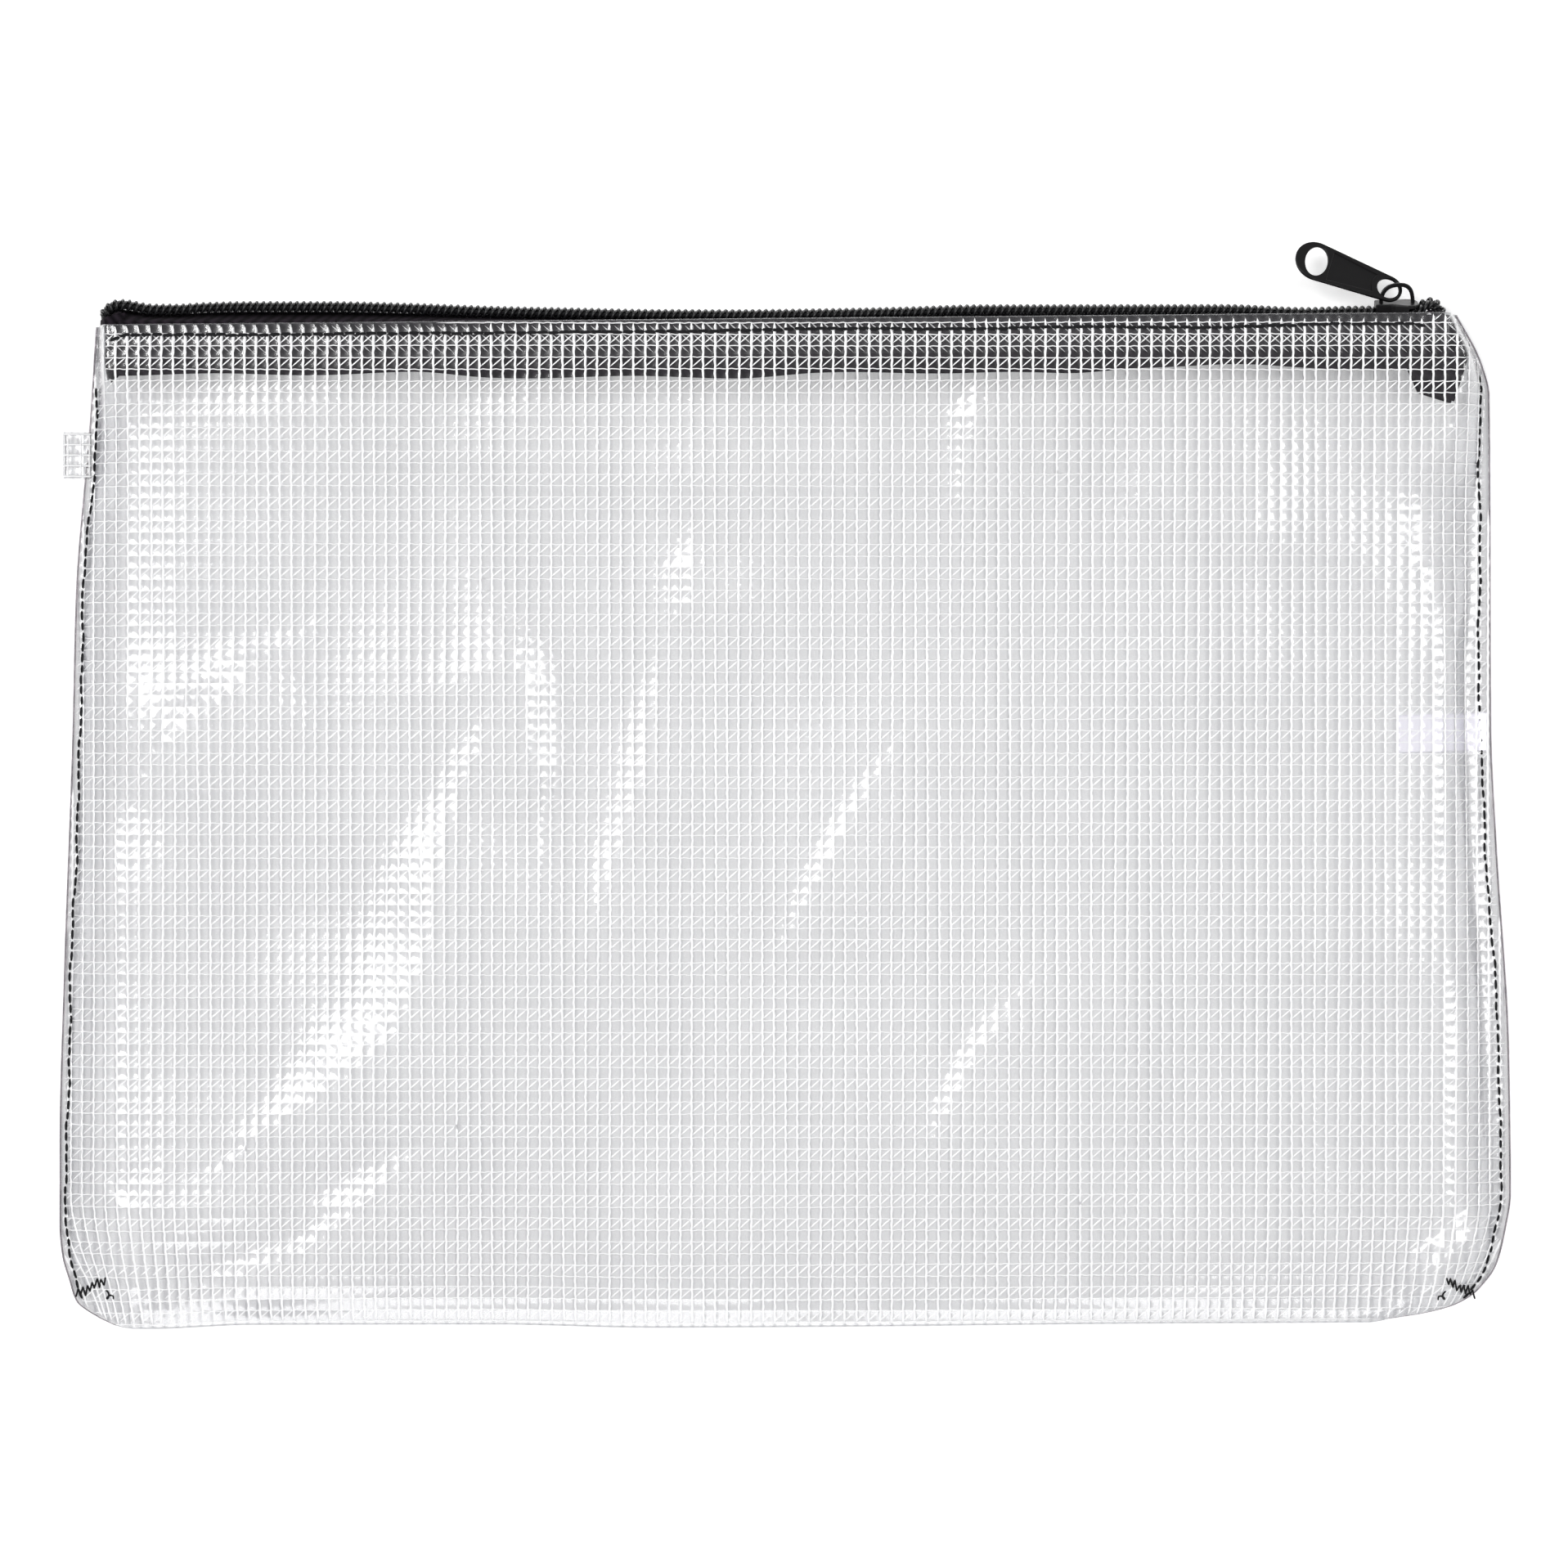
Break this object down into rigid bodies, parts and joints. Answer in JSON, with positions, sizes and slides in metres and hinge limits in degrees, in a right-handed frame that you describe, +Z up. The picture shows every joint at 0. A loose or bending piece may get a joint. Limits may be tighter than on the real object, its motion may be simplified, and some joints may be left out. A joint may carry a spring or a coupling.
{
  "type": "zippered mesh document bag",
  "caption": "Flat zippered document bag of clear vinyl laid over white scrim, with a black coil zipper, slider and pull tab, a side loop and a blank sewn label.",
  "frame": {"origin": "on the surface the bag lies on, under the middle of its bounding box", "axes": "+X along the zipper, from the side loop's side to the slider's side; +Y from the folded bottom to the zipped mouth; +Z up, out of the front panel"},
  "size_m": [0.3408, 0.2534, 0.015],
  "materials": {
    "mesh_vinyl": "clear glossy vinyl film over a white net of yarns",
    "woven_tape": "black woven polyester, matt",
    "coil_nylon": "black nylon monofilament, satin",
    "black_thread": "black polyester thread, matt",
    "slider_enamel": "black enamel on die-cast zinc, satin",
    "label_satin": "white woven satin, blank"
  },
  "bodies": {
    "bag": {"body_sheet": "mesh_vinyl", "front_zip_tape": "woven_tape", "back_zip_tape": "woven_tape", "front_coil": "coil_nylon", "back_coil": "coil_nylon", "front_coil_cord": "black_thread", "back_coil_cord": "black_thread", "side_loop": "mesh_vinyl", "label": "label_satin", "front_top_stitch": "black_thread", "back_top_stitch": "black_thread", "left_side_stitch": "black_thread", "right_side_stitch": "black_thread", "left_corner_tack": "black_thread", "right_corner_tack": "black_thread"},
    "slider": {"slider_body": "slider_enamel"},
    "pull": {"pull_tab": "slider_enamel"}
  },
  "joints": [
    {"name": "slider_travel", "type": "slide", "parent": "bag", "child": "slider", "axis": [1, 0, 0], "range_m": [-0.29, 0], "deforming": ["front_coil", "back_coil", "front_coil_cord", "back_coil_cord"]},
    {"name": "pull_swing", "type": "hinge", "parent": "slider", "child": "pull", "pos_m": [0.14384, 0.11533, 0.00842], "axis": [0, 0.2079, -0.9781], "range_deg": [-4, 134]}
  ]
}
